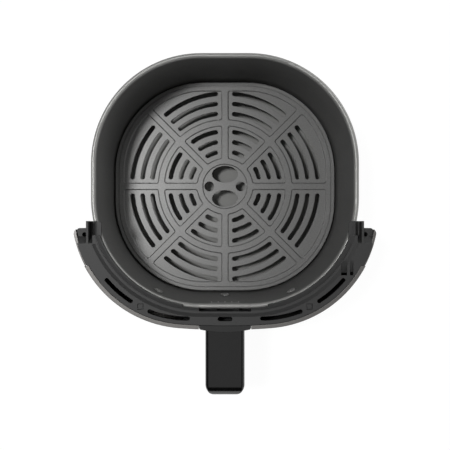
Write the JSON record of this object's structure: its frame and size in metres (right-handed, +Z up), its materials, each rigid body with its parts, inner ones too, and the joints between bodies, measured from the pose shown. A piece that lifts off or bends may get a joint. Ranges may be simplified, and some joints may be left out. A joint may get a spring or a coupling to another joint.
{
  "type": "air fryer drawer",
  "caption": "Pull-out drawer of a basket air fryer: a deep coated pan with a lift-out slotted crisper plate, a curved front housing and a straight handle.",
  "frame": {"origin": "centre of the flat underside of the pan, on the surface that the drawer stands on", "axes": "+Z up out of the pan, -Y along the handle, +X to the right seen from the handle"},
  "size_m": [0.2632, 0.3031, 0.1084],
  "materials": {
    "pan_coating": "grey non-stick coating, satin, paler on the rolled rim",
    "plate_coating": "mid grey non-stick coating, satin",
    "black_steel": "black dipped and baked paint, soft sheen",
    "zinc_steel": "zinc plated",
    "frame_plastic": "black heat-resistant plastic, satin",
    "cover_metallic": "warm grey metallic paint, semi-gloss",
    "handle_plastic": "black plastic, semi-gloss",
    "foot_silicone": "matt black silicone"
  },
  "bodies": {
    "drawer": {"pan": "pan_coating", "bracket_rivets": "pan_coating", "pan_bracket": "black_steel", "bracket_screws": "zinc_steel", "cover_screws": "zinc_steel", "handle_stiffener": "black_steel", "handle_bolts": "black_steel", "bolt_washers": "black_steel", "handle_screws": "zinc_steel", "front_frame": "frame_plastic", "front_cover": "cover_metallic", "handle_base": "frame_plastic", "handle_upper": "handle_plastic", "handle_lower": "handle_plastic"},
    "plate": {"crisper_plate": "plate_coating", "plate_foot_1": "foot_silicone", "plate_foot_2": "foot_silicone", "plate_foot_3": "foot_silicone", "plate_foot_4": "foot_silicone"}
  },
  "joints": [
    {"name": "plate_lift", "type": "slide", "parent": "drawer", "child": "plate", "axis": [0, 0, 1], "range_m": [0, 0.12]}
  ]
}
